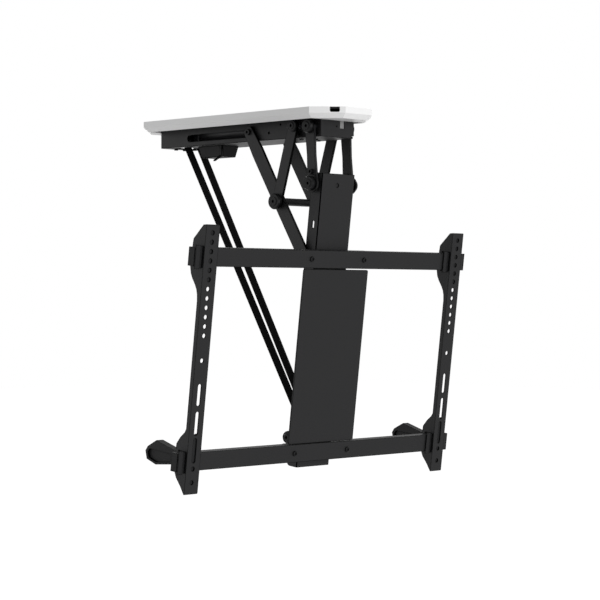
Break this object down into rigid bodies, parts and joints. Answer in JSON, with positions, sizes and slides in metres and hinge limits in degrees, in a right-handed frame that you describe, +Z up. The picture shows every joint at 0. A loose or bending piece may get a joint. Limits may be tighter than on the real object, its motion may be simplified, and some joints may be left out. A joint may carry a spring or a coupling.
{
  "type": "motorized tv ceiling mount",
  "caption": "Ceiling mount with a white cover, a folding crank and arm linkage, lifting straps and an upright column whose rails carry two slotted screen brackets.",
  "frame": {"origin": "centre of the face that meets the ceiling, between the four ceiling slots", "axes": "+Z up to the ceiling, +X to the right along the rails, +Y to the rear, away from the viewer of the screen"},
  "size_m": [0.66, 0.502, 0.6309],
  "materials": {
    "white_plastic": "smooth satin white",
    "black_steel": "fine matt black powder coat",
    "black_bolts": "satin black",
    "black_plastic": "matt black moulded plastic",
    "black_webbing": "woven polyester webbing",
    "zinc_steel": "bright zinc plate",
    "motor_steel": "dark grey paint",
    "board_green": "green board with black parts"
  },
  "bodies": {
    "ceiling_unit": {"ceiling_cover": "white_plastic", "ceiling_plate": "zinc_steel", "channel": "black_steel", "channel_front": "black_steel", "pivot_bracket": "black_steel", "crank_bolt_left": "black_bolts", "crank_bolt_right": "black_bolts", "link_bolt_left": "black_bolts", "link_bolt_right": "black_bolts", "crank_spacer_left": "zinc_steel", "crank_spacer_right": "zinc_steel", "link_spacer_left": "zinc_steel", "link_spacer_right": "zinc_steel", "pivot_tubes": "zinc_steel", "bearing_bracket": "black_steel", "gearbox": "motor_steel", "gear_motor": "motor_steel", "motor_saddles": "black_steel", "control_box": "black_plastic", "circuit_board": "board_green", "cable_hook": "black_plastic", "channel_screws": "black_bolts"},
    "cranks": {"crank_left": "black_steel", "crank_right": "black_steel", "elbow_bolt_left": "black_bolts", "elbow_bolt_right": "black_bolts", "cross_tube": "black_steel"},
    "long_arms": {"long_arm_left": "black_steel", "long_arm_right": "black_steel", "slot_pin_left": "black_bolts", "slot_pin_right": "black_bolts", "knee_bolt_left": "black_bolts", "knee_bolt_right": "black_bolts"},
    "front_links": {"front_link_left": "black_steel", "front_link_right": "black_steel", "link_end_bolt_left": "black_bolts", "link_end_bolt_right": "black_bolts", "link_screws": "black_bolts"},
    "column": {"column": "black_steel", "column_cover": "black_steel", "cover_posts": "zinc_steel", "rail_upper": "black_steel", "rail_lower": "black_steel", "rail_plate_upper": "black_steel", "rail_plate_lower": "black_steel", "rail_caps": "black_plastic", "rail_screws": "black_bolts", "strap_sleeve": "black_plastic", "axle_bolt_left": "black_bolts", "axle_bolt_right": "black_bolts"},
    "bracket_left": {"bracket_left": "black_steel", "clamps_left": "black_plastic", "stop_arm_left": "black_plastic"},
    "bracket_right": {"bracket_right": "black_steel", "clamps_right": "black_plastic", "stop_arm_right": "black_plastic"},
    "straps": {"strap_left": "black_webbing", "strap_right": "black_webbing"},
    "winch_drum": {"winch_drum": "black_plastic", "drum_shaft": "zinc_steel"}
  },
  "joints": [
    {"name": "crank_pivot", "type": "hinge", "parent": "ceiling_unit", "child": "cranks", "pos_m": [0, -0.1471, -0.0269], "axis": [1, 0, 0], "range_deg": [0, 56]},
    {"name": "elbow", "type": "hinge", "parent": "cranks", "child": "long_arms", "pos_m": [0, -0.1082, -0.1536], "axis": [1, 0, 0], "range_deg": [-100.84, 0]},
    {"name": "knee", "type": "hinge", "parent": "long_arms", "child": "column", "pos_m": [0, -0.1655, -0.2462], "axis": [1, 0, 0], "range_deg": [0, 128.44]},
    {"name": "link_pivot", "type": "hinge", "parent": "ceiling_unit", "child": "front_links", "pos_m": [0, -0.1806, -0.029], "axis": [1, 0, 0], "range_deg": [-40.81, 0]},
    {"name": "strap_swing", "type": "hinge", "parent": "ceiling_unit", "child": "straps", "pos_m": [0, 0.156, -0.025], "axis": [1, 0, 0], "range_deg": [0, 37.01], "deforming": ["strap_left", "strap_right"]},
    {"name": "drum_spin", "type": "hinge", "parent": "ceiling_unit", "child": "winch_drum", "pos_m": [0, 0.156, -0.025], "axis": [1, 0, 0], "range_deg": [0, 2357]},
    {"name": "bracket_left_slide", "type": "slide", "parent": "column", "child": "bracket_left", "axis": [1, 0, 0], "range_m": [0, 0.2]},
    {"name": "bracket_right_slide", "type": "slide", "parent": "column", "child": "bracket_right", "axis": [-1, 0, 0], "range_m": [0, 0.2]}
  ],
  "couplings": [
    {"joint": "elbow", "follows": "crank_pivot", "ratio": -1.8007},
    {"joint": "knee", "follows": "crank_pivot", "ratio": 2.2935},
    {"joint": "link_pivot", "follows": "crank_pivot", "ratio": -0.7287},
    {"joint": "strap_swing", "follows": "crank_pivot", "ratio": 0.6608},
    {"joint": "drum_spin", "follows": "crank_pivot", "ratio": 42.089}
  ]
}
